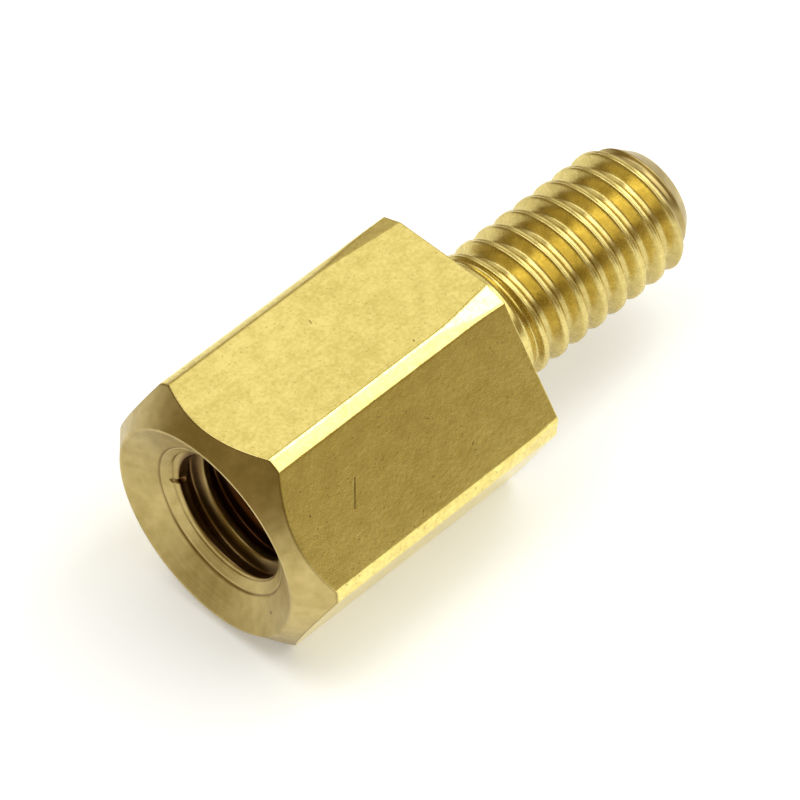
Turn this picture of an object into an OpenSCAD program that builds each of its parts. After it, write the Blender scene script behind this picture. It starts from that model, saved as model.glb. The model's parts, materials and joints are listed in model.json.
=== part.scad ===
// Male-female hexagon standoff, turned from brass bar.
// The part lies on one flat of its hexagon, with its axis along X: the tapped hole opens towards -X
// and the stud points towards +X. Sizes are in millimetres.

/* [Hexagon bar] */
// Width across the flats of the hexagon
hex_across_flats = 4.5; // [4:0.1:8]
// How far the six long corners are turned down from sharp
corner_cut = 0.07; // [0.02:0.01:0.2]

/* [Body] */
// Length of the hexagon body, from its rim to its shoulder
body_length = 5.5; // [4:0.1:30]
// How far the rim of the open end lies in from the flats
rim_inset = 0.25; // [0.1:0.01:0.5]
// Width of the narrow flat on the rim
rim_land = 0.04; // [0.02:0.01:0.2]
// Angle of the chamfer around the rim, from the end plane
chamfer_angle = 44; // [20:1:60]

/* [Tapped hole] */
// Diameter of the hole at the crests of its thread
hole_diameter = 2.14; // [1.6:0.01:2.6]
// Solid left between the end of the hole's full diameter and the shoulder
hole_end_wall = 1.2; // [0.8:0.1:2]
// Full angle of the countersink at the mouth of the hole
countersink_angle = 118; // [82:1:130]
// Full angle of the drill point at the end of the hole
drill_point_angle = 118; // [90:1:140]

/* [Stud] */
// Diameter of the stud at the crests of its thread
stud_diameter = 2.43; // [1.8:0.01:3]
// Length of the stud, from the shoulder to its tip
stud_length = 4.7; // [3:0.1:15]
// How far in the chamfer at the tip reaches
tip_chamfer_depth = 0.4; // [0.1:0.05:0.6]
// How far along the stud the chamfer at the tip reaches
tip_chamfer_length = 0.5; // [0.1:0.05:1]

/* [Hidden] */
$fn = 96;

// How far a cutting shape reaches past the face that it cuts
past = 0.5;

apothem = hex_across_flats / 2;
sharp_corner_radius = apothem / cos(30);
corner_radius = sharp_corner_radius - corner_cut;

rim_radius = apothem - rim_inset;
rim_inner_radius = rim_radius - rim_land;
chamfer_length = (corner_radius - rim_radius) * tan(chamfer_angle);

hole_radius = hole_diameter / 2;
hole_depth = body_length - hole_end_wall;
countersink_slope = 1 / tan(countersink_angle / 2);
countersink_depth = (rim_inner_radius - hole_radius) * countersink_slope;
drill_point_depth = hole_radius / tan(drill_point_angle / 2);

stud_radius = stud_diameter / 2;
tip_radius = stud_radius - tip_chamfer_depth;
total_length = body_length + stud_length;

// Hexagon bar, standing on end and longer than the part, its flats facing up, down and to the slanting sides
module hexagon_bar() {
    translate([0, 0, -past])
        rotate(30)
            cylinder(h = total_length + 2 * past, r = sharp_corner_radius, $fn = 6);
}

// Outline that the lathe leaves: chamfered rim, turned corners, shoulder and stud
module turned_outline() {
    rotate_extrude()
        polygon([
            [0, 0],
            [rim_radius, 0],
            [corner_radius, chamfer_length],
            [corner_radius, body_length],
            [stud_radius, body_length],
            [stud_radius, total_length - tip_chamfer_length],
            [tip_radius, total_length],
            [0, total_length]
        ]);
}

// Countersunk blind hole with its drill point
module tapped_hole() {
    rotate_extrude()
        polygon([
            [0, -past],
            [rim_inner_radius + past / countersink_slope, -past],
            [hole_radius, countersink_depth],
            [hole_radius, hole_depth],
            [0, hole_depth + drill_point_depth]
        ]);
}

module hex_standoff() {
    color([0.78, 0.66, 0.33])
        translate([-total_length / 2, 0, apothem])
            rotate([0, 90, 0])
                difference() {
                    intersection() {
                        hexagon_bar();
                        turned_outline();
                    }
                    tapped_hole();
                }
}

hex_standoff();
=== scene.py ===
# %% [markdown]
# # A brass hex standoff
# A standoff holds a board clear of a panel. This one is turned in one piece from drawn hexagon bar: a tapped
# hole in its chamfered end takes a screw, and a threaded stud on its other end goes through the panel.
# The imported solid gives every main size. The lesson builds its surface again, finely enough for close-ups,
# cuts the fine threads into it, and gives it the finish of bright brass.

# %% Load the solid
import json
import math

import bpy
import numpy as np
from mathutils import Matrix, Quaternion, Vector


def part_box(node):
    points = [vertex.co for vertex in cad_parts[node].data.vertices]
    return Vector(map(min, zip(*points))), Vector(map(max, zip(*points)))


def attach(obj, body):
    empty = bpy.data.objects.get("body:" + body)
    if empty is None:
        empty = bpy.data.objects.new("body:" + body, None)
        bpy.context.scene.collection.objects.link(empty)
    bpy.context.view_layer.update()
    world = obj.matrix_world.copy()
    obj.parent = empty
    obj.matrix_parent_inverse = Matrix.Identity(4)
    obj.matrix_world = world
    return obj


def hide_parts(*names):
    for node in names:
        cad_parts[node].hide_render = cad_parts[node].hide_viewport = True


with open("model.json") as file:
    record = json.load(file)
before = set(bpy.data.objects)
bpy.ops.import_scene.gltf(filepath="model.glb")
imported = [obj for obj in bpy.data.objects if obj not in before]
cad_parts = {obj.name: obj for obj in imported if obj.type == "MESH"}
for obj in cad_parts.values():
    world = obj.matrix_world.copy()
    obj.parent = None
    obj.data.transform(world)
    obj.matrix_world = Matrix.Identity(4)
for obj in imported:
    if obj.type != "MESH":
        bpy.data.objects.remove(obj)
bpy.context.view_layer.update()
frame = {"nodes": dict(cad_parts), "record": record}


print("solids:", sorted(frame["nodes"]))

# %% [markdown]
# ## Sizes
# The part lies on one flat, with its axis along X. Its box gives the width across flats, the reach of the
# corners and the length, and the mounts give the stud, the hole and the shoulder. Sizes are kept in
# millimetres, because a part of 10 mm reads badly in metres, and turned into metres once, in the mesh.

# %% Sizes from the solid
MM = 0.001
mounts = {mount["name"]: mount for mount in frame["record"]["mounts"]}
low, high = (np.array(corner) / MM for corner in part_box("hex_standoff"))
hole_mouth_x, _, axis_z = np.array(mounts["tapped_hole"]["pos_m"]) / MM
hole_r = mounts["tapped_hole"]["dims"]["r_mm"]
hole_end_x = hole_mouth_x + mounts["tapped_hole"]["dims"]["length_mm"]
stud_r = mounts["stud"]["dims"]["r_mm"]
shoulder_x = mounts["shoulder"]["pos_m"][0] / MM
rim_x, tip_x = low[0], high[0]
apothem = (high[2] - low[2]) / 2
corner_reach = (high[1] - low[1]) / 2
print(f"hexagon {2 * apothem:.2f} mm across flats, corners turned to {2 * corner_reach:.3f} mm")
print(f"body {shoulder_x - rim_x:.2f} mm, stud {tip_x - shoulder_x:.2f} mm")

# %% [markdown]
# ## The bar's section
# Every turn around the axis uses the same columns of points. The hexagon decides where they stand: close
# together on its six turned corners, which catch the light in a bright stripe, and wider apart on its flats.
# Placing columns by the section, and not evenly, keeps the corners crisp with few points. Where two surfaces
# meet, a soft minimum or maximum of their radii leaves the small round that a burnished edge has.

# %% Helpers that blend two surfaces
def soft_min(a, b, width):
    """The smaller of a and b. Where they are equal, it is a quarter of width less, which rounds the edge."""
    share = np.clip(0.5 + 0.5 * (b - a) / width, 0, 1)
    return b + (a - b) * share - width * share * (1 - share)


def soft_max(a, b, width):
    """The larger of a and b. Where they are equal, it is a quarter of width more, which rounds the edge."""
    return -soft_min(-a, -b, width)


def smooth_step(start, end, x):
    """0 before start, 1 after end, and in between 3 times the share's square less 2 times its cube."""
    share = np.clip((x - start) / (end - start), 0, 1)
    return share * share * (3 - 2 * share)


def hill(distance, width):
    """1 at no distance, and falling to 0 away from it: e to the power of minus (distance / width) squared."""
    return np.exp(-(distance / width) ** 2)


print("two radii of 1 mm, blended over 0.1 mm:", soft_min(1.0, 1.0, 0.1), "or", soft_max(1.0, 1.0, 0.1), "mm")

# %% Columns around the axis
FLAT_COLUMNS = 16
CORNER_COLUMNS = 18
CORNER_SPAN = math.radians(7)
EDGE_BLEND = 0.008


def hexagon_columns():
    """Angle from +Y towards +Z, and distance from the axis, of each column on the bar's outline.

    On a flat, the distance is the apothem divided by the cosine of the angle from the flat's middle. On a
    corner, it is the radius that the corners are turned to. The smaller of the two is the outline.
    """
    flat_span = math.pi / 3 - 2 * CORNER_SPAN
    corner = np.linspace(-CORNER_SPAN, CORNER_SPAN, CORNER_COLUMNS, endpoint=False)
    flat = CORNER_SPAN + np.linspace(0, flat_span, FLAT_COLUMNS, endpoint=False)
    one_side = np.concatenate([corner, flat])
    from_corner = np.abs((one_side + math.pi / 6) % (math.pi / 3) - math.pi / 6)
    distance = soft_min(apothem / np.cos(math.pi / 6 - from_corner), corner_reach, EDGE_BLEND)
    sides = np.arange(6)[:, None] * math.pi / 3
    return (sides + one_side).ravel(), np.tile(distance, 6)


angle, bar_r = hexagon_columns()


def turned_from(start):
    """Angle of each column from the angle start, between minus half a turn and half a turn."""
    return (angle - start + math.pi) % (2 * math.pi) - math.pi


print(f"{len(angle)} columns, from {bar_r.min():.3f} to {bar_r.max():.3f} mm from the axis")

# %% [markdown]
# ## Threads
# Both threads are a 60 degree V with a blunt crest and a blunt root, which climbs one pitch in each turn. A
# point's place in the V is its distance along the axis from the nearest crest, and the crest moves along
# with the angle, so one formula gives the whole helix. The hole's thread opens into the dish, the shallow
# countersink that leads a screw in. The tap left a nick and a fine ring there, and use has worn the first
# turn of the thread.

# %% Thread form
PITCH = 0.45
FLANK_SLOPE = 1 / math.tan(math.radians(30))


def from_crest(x, first_crest):
    """Distance along the axis from the nearest crest of a right-hand thread.

    The thread crosses +Y at first_crest. The distance from there in pitches, less the angle's share of a
    turn, is a whole number on a crest.
    """
    turns = (x - first_crest) / PITCH - angle / (2 * math.pi)
    return PITCH * np.abs(turns - np.round(turns))


print(f"thread: pitch {PITCH} mm, flanks that fall {FLANK_SLOPE:.2f} mm for each mm along the axis")

# %% Radius of the stud
STUD_ROOT_R = stud_r - 0.22
STUD_CREST_FLAT = 0.09
STUD_FIRST_CREST = shoulder_x + 0.3625
STUD_CREST_BLEND, STUD_ROOT_BLEND = 0.03, 0.05
THREAD_STARTS, THREAD_RUNOUT, RUNOUT_BLEND = shoulder_x + 0.7, 0.35, 0.03
SEAM_DEPTH, SEAM_WIDTH = 0.012, 0.02
TIP_R, TIP_CHAMFER, TIP_BLEND = stud_r - 0.4, 0.5, 0.05
TIP_SLOPE = (stud_r - TIP_R) / TIP_CHAMFER


def stud_radius(x):
    """Radius of the stud: the lower of its thread and the cone of its tip.

    The thread falls from its crest along the flank's slope to its root. A cone that runs down from the plain
    shank to the root fills its first groove, so it starts shallow. A narrow seam runs along its crest.
    """
    away = from_crest(x, STUD_FIRST_CREST)
    flank = stud_r - FLANK_SLOPE * (away - STUD_CREST_FLAT / 2)
    runout = stud_r - (stud_r - STUD_ROOT_R) * (x - THREAD_STARTS) / THREAD_RUNOUT
    groove_floor = soft_max(runout, STUD_ROOT_R, RUNOUT_BLEND)
    form = soft_min(soft_max(flank, groove_floor, STUD_ROOT_BLEND), stud_r, STUD_CREST_BLEND)
    form = form - SEAM_DEPTH * hill(away, SEAM_WIDTH) * smooth_step(stud_r, STUD_ROOT_R, runout)
    cone = TIP_R + (tip_x - x) * TIP_SLOPE
    return soft_min(form, cone, TIP_BLEND)


print(f"stud thread: crest {stud_r:.3f} mm, root {STUD_ROOT_R:.3f} mm")
print(f"{(tip_x - THREAD_STARTS) / PITCH:.1f} turns")

# %% Dish, with its nick and its ring
RIM_R, RIM_LAND = apothem - 0.25, 0.04
RIM_INNER_R = RIM_R - RIM_LAND
DISH_SLOPE = math.tan(math.radians(31))
NICK_ANGLE, NICK_WIDTH, NICK_DEPTH = math.radians(-3), math.radians(1.8), 0.06
NICK_RISES, NICK_FALLS = (rim_x + 0.40, rim_x + 0.46), (rim_x + 0.66, rim_x + 0.56)
MOUTH_LINE_R, MOUTH_LINE_WIDTH, MOUTH_LINE_DEPTH = 1.21, 0.016, 0.010


def dish_cone(x):
    """Radius of the dish, which narrows from the rim's inner edge by the depth divided by the slope."""
    return RIM_INNER_R - (x - rim_x) / DISH_SLOPE


def nick(x):
    """1 in the nick at the hole's mouth, where the tap started its thread, and 0 away from it."""
    along = smooth_step(*NICK_RISES, x) * smooth_step(*NICK_FALLS, x)
    return along * hill(turned_from(NICK_ANGLE), NICK_WIDTH)


def mouth_line(x):
    """1 on the fine ring beside the hole's mouth, by the dish's radius there, and 0 away from it."""
    return hill(dish_cone(x) - MOUTH_LINE_R, MOUTH_LINE_WIDTH)


print(f"dish: from {2 * RIM_INNER_R:.2f} to {2 * hole_r:.2f} mm across")

# %% Radius of the tapped hole
HOLE_ROOT_R = 1.27
HOLE_CREST_FLAT = 0.11
HOLE_FIRST_CREST = rim_x + 0.58
HOLE_THREAD_ENDS = hole_end_x - 0.6
HOLE_ROOT_BLEND, HOLE_CREST_BLEND, DISH_BLEND = 0.04, 0.03, 0.04
MOUTH_WEAR, SIDE_WEAR = 0.07, 0.07
WEAR_FALLS = (rim_x + 0.85, rim_x + 0.55)
worn_side = np.maximum(0, -np.cos(angle))


def hole_radius(x):
    """Radius of the hole: the higher of its thread and the dish, with the nick and the ring cut in.

    The thread rises from its crest along the flank's slope to its root, and fades out at the hole's end. The
    crests of the first turn are worn down at the mouth, most on the side towards -Y, and less further in.
    """
    away = from_crest(x, HOLE_FIRST_CREST)
    flank = hole_r + FLANK_SLOPE * (away - HOLE_CREST_FLAT / 2)
    worn_crest = hole_r + (MOUTH_WEAR + SIDE_WEAR * worn_side) * smooth_step(*WEAR_FALLS, x)
    form = soft_max(soft_min(flank, HOLE_ROOT_R, HOLE_ROOT_BLEND), worn_crest, HOLE_CREST_BLEND)
    cut = smooth_step(hole_end_x, HOLE_THREAD_ENDS, x)
    smooth = soft_max(hole_r + (form - hole_r) * cut, dish_cone(x), DISH_BLEND)
    return smooth + NICK_DEPTH * nick(x) + MOUTH_LINE_DEPTH * mouth_line(x)


print(f"hole thread: crest {hole_r:.3f} mm, root {HOLE_ROOT_R:.3f} mm")

# %% [markdown]
# ## One profile from end to end
# A lathe part is a profile carried around an axis. Here the profile starts at the point of the drill, comes
# out through the hole, crosses the dish, the rim and the chamfer, runs along the body, drops down the
# shoulder and follows the stud to its tip. Each column has its own copy of it, because the hexagon's radius
# changes around the axis: that puts the curved edge between the chamfer and the flats on a line of points.
# Real edges aren't knife sharp, so each corner of the profile becomes a short curve. The jaws that held the
# bar by three of its flats pressed the edges of those flats down a little beside the shoulder, which widens
# the bright stripe there.

# %% Helpers for the profile
def ring(x, r):
    """Profile points of every column, with x and r spread to the same shape: rows, columns, (x, r)."""
    x, r, _ = np.broadcast_arrays(np.atleast_2d(x), np.atleast_2d(r), angle)
    return np.stack([x, r], axis=-1)


def rows(values):
    """Values along the profile, as a column that broadcasts over the columns around the axis."""
    return np.asarray(values, float)[:, None]


def spaced(stretches):
    """Rows for several stretches, each one given as its start, its end and the number of its rows."""
    return rows(np.concatenate([np.linspace(*stretch) for stretch in stretches]))


def eased(before, corner, after, reach, steps=5):
    """Short curve in place of a sharp corner: (1-t)^2 A + 2t(1-t) C + t^2 B, with C the corner.

    A and B lie on the two sides, `reach` from the corner. One more point further out on each side holds the
    sides flat.
    """
    def side(point):
        away = point - corner
        return away / np.linalg.norm(away, axis=-1, keepdims=True)

    t = np.linspace(0, 1, steps)[:, None, None]
    curve = corner + reach * ((1 - t) ** 2 * side(before) + t ** 2 * side(after))
    return np.concatenate([corner + 2 * reach * side(before), curve, corner + 2 * reach * side(after)])


print("one row of the profile:", ring(rim_x, RIM_R).shape)

# %% Hole and dish
DRILL_POINT = hole_r * DISH_SLOPE
DRILL_SHARES = (0.1, 0.4, 0.7, 0.97)
DISH_LINE_R, DISH_LINE_WIDTH, DISH_LINE_DEPTH = 1.42, 0.015, 0.016
# Rows stand closer together towards the hole's mouth, and around the ring in the dish
BORE_STRETCHES = (
    (hole_end_x, rim_x + 1.3, 58),
    (rim_x + 1.28, rim_x + 0.575, 38),
    (rim_x + 0.565, rim_x + 0.39, 30),
)
DISH_STRETCHES = ((1.34, 1.48, 14), (1.53, RIM_INNER_R - 0.03, 8))

drill_r = hole_r * rows(DRILL_SHARES)
drill = ring(hole_end_x + DRILL_POINT * (1 - drill_r / hole_r), drill_r)
bore_x = spaced(BORE_STRETCHES)
bore = ring(bore_x, hole_radius(bore_x))
dish_r = spaced(DISH_STRETCHES)
dish_line = hill(dish_r - DISH_LINE_R, DISH_LINE_WIDTH)
dish = ring(rim_x + (RIM_INNER_R - dish_r) * DISH_SLOPE + DISH_LINE_DEPTH * dish_line, dish_r)
print(f"hole {len(drill) + len(bore)} rows, dish {len(dish)} rows")

# %% Marks of the jaws beside the shoulder
GRIPPED_FLATS = np.radians([90, 210, 330])
JAW_TILT = math.radians(21)
JAW_DEPTH = 0.058
JAW_MARK_LENGTHS = (1.6, 1.2)


def pressed_radius(x):
    """Distance from the axis where the edges of the gripped flats are pressed to slanting planes.

    A plane leans JAW_TILT from the flat. It touches the edge between the flat and the turned corner where
    the mark starts, and lies JAW_DEPTH lower at the shoulder. Its distance at an angle is that of a straight
    line: its own distance divided by a cosine. The jaws gripped askew, so one edge has the longer mark.
    """
    edge_angle = math.acos(apothem / corner_reach)
    touching = corner_reach * math.cos(edge_angle - JAW_TILT)
    from_flats = turned_from(GRIPPED_FLATS[:, None])
    nearest = np.abs(from_flats).argmin(axis=0)
    from_flat = from_flats[nearest, np.arange(len(angle))]
    share = 1 - (shoulder_x - x) / np.where(from_flat < 0, *JAW_MARK_LENGTHS)
    plane = (touching - JAW_DEPTH * share) / np.cos(np.abs(from_flat) - JAW_TILT)
    return soft_min(bar_r, plane, EDGE_BLEND)


print(f"jaw marks up to {np.max(bar_r - pressed_radius(shoulder_x)):.3f} mm deep")

# %% Rim, chamfer, body and shoulder
CHAMFER_SLOPE = math.tan(math.radians(44))
RIM_ROUND, EDGE_ROUND, FOOT_ROUND = 0.008, 0.02, 0.05
SIDE_TO_SHOULDER = (1.8, 0.1, 12)

side_x = shoulder_x - spaced([SIDE_TO_SHOULDER])
bar_side = ring(side_x, pressed_radius(side_x))

rim_inner = ring(rim_x, RIM_INNER_R)
rim_outer = ring(rim_x, RIM_R)
chamfer_edge = ring(rim_x + CHAMFER_SLOPE * (bar_r - RIM_R), bar_r)
shoulder_edge = ring(shoulder_x, pressed_radius(shoulder_x))
stud_foot = ring(shoulder_x, stud_r)
stud_side = ring(tip_x, stud_r)

rim = np.concatenate([
    eased(dish[-1:], rim_inner, rim_outer, RIM_ROUND),
    eased(rim_inner, rim_outer, chamfer_edge, RIM_ROUND),
])
chamfer_curve = eased(rim_outer, chamfer_edge, bar_side[:1], EDGE_ROUND)
shoulder_curve = eased(bar_side[-1:], shoulder_edge, stud_foot, EDGE_ROUND)
foot_curve = eased(shoulder_edge, stud_foot, stud_side, FOOT_ROUND)
print(f"rim {len(rim)} rows, side of the bar {len(chamfer_curve) + len(bar_side) + len(shoulder_curve)} rows")

# %% Stud and tip
STUD_STRETCHES = (
    (shoulder_x + 0.14, THREAD_STARTS - 0.02, 6),
    (THREAD_STARTS, tip_x - 0.12, 272),
)
TIP_ROUND = 0.045
TIP_SHARES = (0.6, 0.25)

stud_x = spaced(STUD_STRETCHES)
stud = ring(stud_x, stud_radius(stud_x))
tip_corner = ring(tip_x, TIP_R)
tip_centre = ring(tip_x, 0)
tip = np.concatenate([
    eased(stud[-1:], tip_corner, tip_centre, TIP_ROUND),
    ring(tip_x, TIP_R * rows(TIP_SHARES)),
])
print(f"stud {len(stud)} rows, tip {len(tip)} rows")

# %% [markdown]
# ## From profile to mesh
# The rows of all the stretches, one after another, form a grid. Each cell of the grid is a quad, the last
# column joins the first, and one point closes the grid at the drill's point and one at the middle of the tip.
# The order of a quad's corners makes its face look away from the metal.

# %% Points and faces of the grid
stretches = [drill, bore, dish, rim, chamfer_curve, bar_side, shoulder_curve, foot_curve, stud, tip]
profile = np.concatenate(stretches)
row_count, column_count = profile.shape[:2]


def place(points):
    """Profile points (x, r) turned about the axis by each column's angle, in metres."""
    x, r = points[..., 0], points[..., 1]
    return MM * np.stack([x, r * np.cos(angle), axis_z + r * np.sin(angle)], axis=-1)


def grid_faces():
    """Quads between neighbouring rows and columns, and a fan of triangles around each closing point."""
    row = np.arange(row_count - 1)[:, None] * column_count
    column = np.arange(column_count)
    following = (column + 1) % column_count
    quads = np.stack(np.broadcast_arrays(
        row + column, row + following, row + column_count + following, row + column_count + column), axis=-1)
    last = (row_count - 1) * column_count
    drill_point = row_count * column_count
    first_fan = np.stack([np.full(column_count, drill_point), following, column], axis=-1)
    last_fan = np.stack([last + column, last + following, np.full(column_count, drill_point + 1)], axis=-1)
    return quads.reshape(-1, 4).tolist() + first_fan.tolist() + last_fan.tolist()


print(f"grid of {row_count} rows and {column_count} columns")

# %% Mesh of the standoff
poles = MM * np.array([[hole_end_x + DRILL_POINT, 0, axis_z], [tip_x, 0, axis_z]])
vertices = np.concatenate([place(profile).reshape(-1, 3), poles])
faces = grid_faces()
mesh = bpy.data.meshes.new("hex_standoff_turned")
mesh.from_pydata(vertices.tolist(), [], faces)
mesh.shade_smooth()
standoff = bpy.data.objects.new("hex_standoff_turned", mesh)
bpy.context.scene.collection.objects.link(standoff)
print(f"{len(vertices)} points, {sum(len(face) - 2 for face in faces)} triangles, "
      f"{'sound' if not mesh.validate() else 'mended'}")

# %% [markdown]
# ## Where each finish lies
# The bar is drawn and the rest is cut, so the flats are bright and mottled and the cut faces are duller, with
# rings. Shade is painted into the hole, and thin lines of painted shade lie along the chamfer's edge, in the
# dish's rings, in the nick and in the roots of the thread. The grid already knows where each of these is, so
# three numbers are stored at every point for the material to read: the dullness and the two painted shades.

# %% Dull where the brass is cut
SHANK_DULL, THREAD_DULL = 0.25, 0.52
DULL_STEPS = (THREAD_STARTS - 0.2, THREAD_STARTS + 0.3, tip_x - 0.65, tip_x - 0.4)
hole_rows = len(drill) + len(bore)


def store(name, values, at_poles):
    """Saves one number for each point of the grid, and one for each closing point, as a mesh attribute."""
    data = np.append(np.broadcast_to(values, profile.shape[:2]).ravel(), at_poles)
    mesh.attributes.new(name, "FLOAT", "POINT").data.foreach_set("value", data.astype(np.float32))
    print(f"{name}: mean {data.mean():.3f}")


dull = np.concatenate([
    np.ones(hole_rows + len(dish) + len(rim)),
    np.linspace(1, 0, len(chamfer_curve)),
    np.zeros(len(bar_side)),
    np.linspace(0, 1, len(shoulder_curve)),
    np.linspace(1, SHANK_DULL, len(foot_curve)),
    np.interp(stud_x.ravel(), DULL_STEPS, (SHANK_DULL, THREAD_DULL, THREAD_DULL, 1)),
    np.ones(len(tip)),
])
store("dull", rows(dull), [1, 1])

# %% Painted shade in the hole
# Depths are from the hole's mouth. Painted shade starts thinner; the first turn's crests get a painted
# highlight
SHADE_RISES, SHADE_FILLS, FIRST_SHADE, SIDE_SHADE = (-0.06, -0.02), (0.2, 0.6), 0.78, 0.05
FIRST_TURN_RISES, FIRST_TURN_FALLS = (0.12, 0.22), (0.75, 0.55)
CREST_LIGHT, CREST_WIDTH = 0.95, 0.08

hole_x = profile[:hole_rows, :, 0]
depth = hole_x - hole_mouth_x
hole_shade = smooth_step(*SHADE_RISES, depth + SIDE_SHADE * worn_side)
hole_shade = hole_shade * (FIRST_SHADE + (1 - FIRST_SHADE) * smooth_step(*SHADE_FILLS, depth))
first_turn = smooth_step(*FIRST_TURN_RISES, depth) * smooth_step(*FIRST_TURN_FALLS, depth)
crest = hill(from_crest(hole_x, HOLE_FIRST_CREST), CREST_WIDTH)
recess = np.zeros(profile.shape[:2])
recess[:hole_rows] = hole_shade * (1 - CREST_LIGHT * crest * first_turn)
store("recess", recess, [1, 0])

# %% Painted shade along edges, rings and roots
# Painted shade in thin lines: the chamfer's edge, the dish's ring, the nick, the mouth's ring, the thread's
# roots
EDGE_SHADE = (0, 0.6, 0.8, 0.6, 0.2, 0, 0)
MOUTH_SHADE = 0.6
ROOT_SHADE = 0.2

rim_ends = hole_rows + len(dish) + len(rim)
painted_shade = np.zeros(profile.shape[:2])
painted_shade[len(drill):hole_rows] = np.maximum(nick(bore_x), MOUTH_SHADE * mouth_line(bore_x))
painted_shade[hole_rows:hole_rows + len(dish)] = dish_line
painted_shade[rim_ends:rim_ends + len(chamfer_curve)] = rows(EDGE_SHADE)
root_share = np.clip((stud_r - stud[..., 1]) / (stud_r - STUD_ROOT_R), 0, 1)
painted_shade[-len(tip) - len(stud):-len(tip)] = ROOT_SHADE * root_share
store("painted_shade", painted_shade, [0, 0])

# %% [markdown]
# ## Brass
# Bright brass is a coloured metal: all of its colour is in what it reflects. One material serves the whole
# part, and the stored numbers say where its bright skin and its turned rings are, and where shade is painted
# into its recesses. The patterns come from noise on Object coordinates, so they stay put when the part moves.

# %% Helpers for the material
brass = bpy.data.materials.new("bright_brass")
brass.use_nodes = True
tree = brass.node_tree
tree.nodes.clear()


def feed(socket, value):
    """Links an output to a shader node's input, or sets the input to a plain value."""
    if isinstance(value, bpy.types.NodeSocket):
        tree.links.new(value, socket)
    else:
        socket.default_value = value


def node(kind, inputs, **settings):
    """Adds a shader node with these settings. An input is a value, or the output that feeds it."""
    made = tree.nodes.new(kind)
    for name, value in settings.items():
        setattr(made, name, value)
    for name, value in inputs.items():
        feed(made.inputs[name], value)
    return made


def calculate(operation, first, second=0.0, third=0.0):
    """One step of arithmetic on two or three numbers or outputs."""
    return node("ShaderNodeMath", {0: first, 1: second, 2: third}, operation=operation).outputs[0]


def combine(operation, inputs, output="Vector"):
    """One step of arithmetic on vectors, which gives a vector or, as the output Value, a number."""
    return node("ShaderNodeVectorMath", inputs, operation=operation).outputs[output]


def spread(value, start, end):
    """Maps start..end to 0..1, and stops there."""
    inputs = {"Value": value, "From Min": start, "From Max": end}
    return node("ShaderNodeMapRange", inputs, clamp=True).outputs["Result"]


def blend(share, first, second):
    """First colour where share is 0, second where it is 1. A Mix node has its colours at inputs 6 and 7."""
    return node("ShaderNodeMix", {0: share, 6: first, 7: second}, data_type="RGBA").outputs[2]


def stored(name):
    """A number that the mesh holds at every point."""
    return node("ShaderNodeAttribute", {}, attribute_name=name).outputs["Fac"]


def mixture(*shares):
    """Sum of patterns, each one times its share."""
    total = 0.0
    for pattern, share in shares:
        total = calculate("MULTIPLY_ADD", pattern, share, total)
    return total


print("material:", brass.name)

# %% Patterns on the brass
RING_MM, CLOUD_MM, MOTTLE_MM, FLECK_MM, SPECK_MM = 0.05, 1.4, 0.26, 0.075, 0.05
SPECK_SPREAD = (0.66, 0.74)
NOISE_ROUGHNESS = 0.55

where = node("ShaderNodeTexCoord", {}).outputs["Object"]
# The dullness of cut brass, the hole's painted shade and the thin lines of painted shade
cut_skin, recess_at, painted_shade_at = stored("dull"), stored("recess"), stored("painted_shade")
drawn_skin = calculate("SUBTRACT", 1.0, cut_skin)


def noise(size_mm, detail):
    """Noise whose features are about size_mm wide."""
    inputs = {"Vector": where, "Scale": 1 / (size_mm * MM), "Detail": detail, "Roughness": NOISE_ROUGHNESS}
    return node("ShaderNodeTexNoise", inputs).outputs["Fac"]


def turned_rings():
    """Noise along the distance from the axis, which is the length of the place's Y and Z from there."""
    centred = combine("ADD", {0: where, 1: (0, 0, -axis_z * MM)})
    across = combine("MULTIPLY", {0: centred, 1: (0, 1, 1)})
    inputs = {"W": combine("LENGTH", {0: across}, "Value"), "Scale": 1 / (RING_MM * MM), "Detail": 2.0}
    return node("ShaderNodeTexNoise", inputs, noise_dimensions="1D").outputs["Fac"]


rings = turned_rings()
cloud = noise(CLOUD_MM, 2.0)
mottle = noise(MOTTLE_MM, 3.0)
fleck = noise(FLECK_MM, 2.0)
speck = spread(noise(SPECK_MM, 1.0), *SPECK_SPREAD)
print("patterns: turned rings, clouds, mottling, flecks and specks")

# %% Marks of use
# Start, end and width of each mark
SCRATCH = ((-3.41, -1.81, 3.62), (-3.65, -2.03, 3.24), 0.022)
PITS = (
    ((-4.43, -1.84, 3.55), (-4.43, -1.85, 3.58), 0.024),
    ((-1.23, -2.21, 2.92), (-1.20, -2.19, 2.94), 0.022),
    ((-1.78, -1.78, 3.66), (-1.76, -1.79, 3.65), 0.018),
    ((-1.27, -1.02, 4.50), (-1.25, -1.00, 4.50), 0.022),
    ((-2.10, 0.52, 4.50), (-2.12, 0.45, 4.50), 0.014),
    ((-4.93, -1.25, 1.14), (-4.92, -1.22, 1.13), 0.030),
)
MARK_CORE = 0.3


def mark(start_mm, end_mm, width_mm):
    """1 on a straight mark and 0 away from it, by the distance to the nearest point between its two ends."""
    start, end = (np.array(end_point) * MM for end_point in (start_mm, end_mm))
    along = end - start
    offset = combine("SUBTRACT", {0: where, 1: start})
    share = combine("DOT_PRODUCT", {0: offset, 1: along / along.dot(along)}, "Value")
    reached = combine("SCALE", {0: along, "Scale": spread(share, 0, 1)})
    gap = combine("DISTANCE", {0: offset, 1: reached}, "Value")
    return spread(gap, width_mm * MM, MARK_CORE * width_mm * MM)


marks = mark(*SCRATCH)
for pit in PITS:
    marks = calculate("MAXIMUM", marks, mark(*pit))
print(f"marks: one scratch and {len(PITS)} pits")

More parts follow.
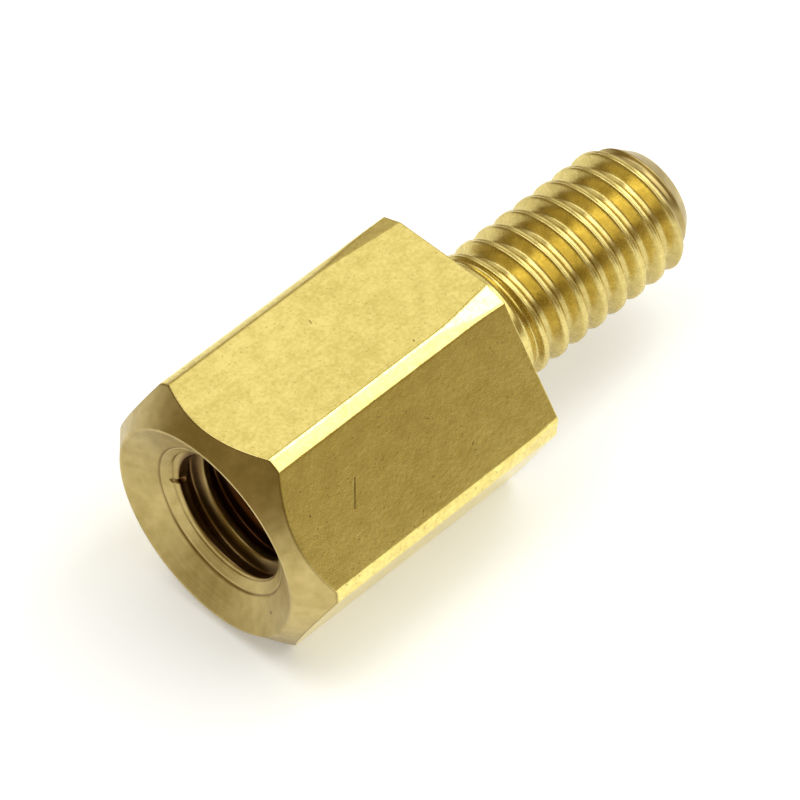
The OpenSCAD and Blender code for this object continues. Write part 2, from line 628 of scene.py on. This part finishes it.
# %% Colour
PALE_BRASS = (0.95, 0.805, 0.29, 1)
DEEP_BRASS = (0.765, 0.63, 0.195, 1)
PALE_CUT = (0.57, 0.45, 0.19, 1)
DEEP_CUT = (0.42, 0.32, 0.115, 1)
# Dark brown for the specks, the scratch and pits, and the thin lines of painted shade
DIRT_AND_SHADE_BROWN = (0.18, 0.11, 0.04, 1)
# Brown of the painted shade in the hole
HOLE_BROWN = (0.12, 0.040, 0.018, 1)
TONE_SPREAD, CUT_TONE_SPREAD = (0.40, 0.60), (0.38, 0.62)
SPECK_SHARE, LINE_SHADE_SHARE, MARK_SHARE, HOLE_SHARE = 0.4, 0.75, 0.8, 0.94

tone = spread(mixture((mottle, 0.4), (cloud, 0.2), (fleck, 0.4)), *TONE_SPREAD)
colour = blend(tone, PALE_BRASS, DEEP_BRASS)
colour = blend(calculate("MULTIPLY", speck, SPECK_SHARE), colour, DIRT_AND_SHADE_BROWN)
cut_tone = spread(mixture((mottle, 0.5), (cloud, 0.5)), *CUT_TONE_SPREAD)
colour = blend(cut_skin, colour, blend(cut_tone, PALE_CUT, DEEP_CUT))
# Painted shade in the thin lines, and the scratch and pits, darken the colour to brown
colour = blend(mixture((painted_shade_at, LINE_SHADE_SHARE), (marks, MARK_SHARE)), colour, DIRT_AND_SHADE_BROWN)
# Painted shade darkens the hole
colour = blend(calculate("MULTIPLY", recess_at, HOLE_SHARE), colour, HOLE_BROWN)
print("colour: drawn skin, specks, cut skin, grime, marks and oil, one over the other")

# %% Roughness and relief
LEAST_ROUGHNESS, FLECK_ROUGHNESS, CUT_ROUGHNESS = 0.14, 0.12, 0.15
FLECK_RELIEF, MOTTLE_RELIEF, RING_RELIEF, MARK_RELIEF = 0.5, 0.1, 0.6, -0.2
BUMP_STRENGTH, BUMP_MM = 0.25, 0.01

roughness = mixture((fleck, FLECK_ROUGHNESS), (cut_skin, CUT_ROUGHNESS), (1.0, LEAST_ROUGHNESS))
cut_relief = calculate("MULTIPLY", rings, cut_skin)
drawn_relief = mixture((fleck, FLECK_RELIEF), (mottle, MOTTLE_RELIEF))
drawn_relief = calculate("MULTIPLY", drawn_relief, drawn_skin)
relief = mixture((cut_relief, RING_RELIEF), (drawn_relief, 1.0), (marks, MARK_RELIEF))
bump = node("ShaderNodeBump", {"Height": relief, "Strength": BUMP_STRENGTH, "Distance": BUMP_MM * MM})
shader = node("ShaderNodeBsdfPrincipled", {
    "Base Color": colour, "Metallic": 1.0, "Roughness": roughness, "Normal": bump.outputs["Normal"]})
node("ShaderNodeOutputMaterial", {"Surface": shader.outputs["BSDF"]})
mesh.materials.append(brass)
print(f"brass: {len(tree.nodes)} nodes")

# %% [markdown]
# ## The piece in the frame
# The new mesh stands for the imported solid, which then isn't shown. It has the same place, because both are in
# the same frame, and it moves with the part's one body.

# %% Tie the piece to the solid
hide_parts("hex_standoff")
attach(standoff, "root")
print("hex_standoff_turned stands for hex_standoff")

# %% [markdown]
# ## Floor, light and camera
# Polished metal looks like what is around it, so each light is placed by the face that mirrors it. A bright
# one over the front draws the stripe along the turned corner, and a small one beside it the gleam on the
# jaw's mark. A softer one behind makes the upper flat pale, a dim one further back the far corner, and the
# light from the top, which no large face mirrors, is for the floor. The floor glows a little, as a light
# table does, so that the shadow stays faint. The dim warm room leaves the sides olive.

# %% Floor
FLOOR_SIZE = 3
FLOOR_WHITE = (0.90, 0.91, 0.93, 1)
FLOOR_ROUGHNESS = 0.9
FLOOR_GLOW, FLOOR_GLOW_STRENGTH = (0.92, 0.96, 1.0, 1), 0.3

bpy.ops.mesh.primitive_plane_add(size=FLOOR_SIZE)
floor = bpy.context.object
floor.name = "floor"
paper = bpy.data.materials.new("pale_floor")
paper.use_nodes = True
paper_shader = paper.node_tree.nodes["Principled BSDF"].inputs
paper_shader["Base Color"].default_value = FLOOR_WHITE
paper_shader["Roughness"].default_value = FLOOR_ROUGHNESS
paper_shader["Emission Color"].default_value = FLOOR_GLOW
paper_shader["Emission Strength"].default_value = FLOOR_GLOW_STRENGTH
floor.data.materials.append(paper)
print("floor:", FLOOR_SIZE, "m wide")

# %% Light
COOL_WHITE = (0.92, 0.97, 1.0)
ROOM_COLOUR, ROOM_STRENGTH = (1.0, 0.745, 0.31, 1), 0.29
# Place, aim and size of each light in metres, and its brightness
LIGHTS = {
    "front": ((0.036, -0.044, 0.06), (0.036, -0.044, 0), (0.084, 0.103), 1.8),
    "back": ((0.039, 0.054, 0.06), (0.039, 0.054, 0), (0.09, 0.072), 0.76),
    "top": ((-0.02, 0.02, 0.06), (-0.02, 0.02, 0), (0.03, 0.06), 2.6),
    "glint": ((0.029, -0.007, 0.059), (0.029, -0.007, 0), (0.03, 0.02), 2.2),
    "far": ((0.09, 0.175, 0.06), (0, 0, 0), (0.14, 0.06), 0.33),
}


def soft_light(name, place_m, aim_m, size_m, brightness):
    """Oblong light of an even brightness. Its power is the brightness times pi and the light's area."""
    lamp = bpy.data.lights.new(name, "AREA")
    lamp.shape = "RECTANGLE"
    lamp.size, lamp.size_y = size_m
    lamp.energy = brightness * math.pi * size_m[0] * size_m[1]
    lamp.color = COOL_WHITE
    made = bpy.data.objects.new(name, lamp)
    made.location = place_m
    made.rotation_euler = (Vector(place_m) - Vector(aim_m)).to_track_quat("Z", "Y").to_euler()
    bpy.context.scene.collection.objects.link(made)


for light_name, light in LIGHTS.items():
    soft_light(light_name, *light)

world = bpy.data.worlds.new("room")
world.use_nodes = True
room = world.node_tree.nodes["Background"].inputs
room["Color"].default_value = ROOM_COLOUR
room["Strength"].default_value = ROOM_STRENGTH
bpy.context.scene.world = world
bpy.context.scene.view_settings.view_transform = "Standard"
print("lights:", ", ".join(LIGHTS))

# %% Camera
AZIMUTH, ELEVATION, ROLL = -41.04, 48.16, -4.37
DISTANCE = 0.1214
TARGET = (-0.00108, -0.00036, 0.00243)
LENS, SENSOR_WIDTH, NEAREST = 337.9, 36, 0.01

turn, rise = math.radians(AZIMUTH), math.radians(ELEVATION)
back = Vector((math.sin(turn) * math.cos(rise), -math.cos(turn) * math.cos(rise), math.sin(rise)))
lens = bpy.data.cameras.new("camera")
lens.lens = LENS
lens.sensor_width = SENSOR_WIDTH
lens.clip_start = NEAREST
camera = bpy.data.objects.new("camera", lens)
camera.location = Vector(TARGET) + DISTANCE * back
camera.rotation_mode = "QUATERNION"
camera.rotation_quaternion = back.to_track_quat("Z", "Y") @ Quaternion((0, 0, 1), math.radians(ROLL))
bpy.context.scene.collection.objects.link(camera)
bpy.context.scene.camera = camera
print("camera at", [round(1000 * x, 1) for x in camera.location], "mm")
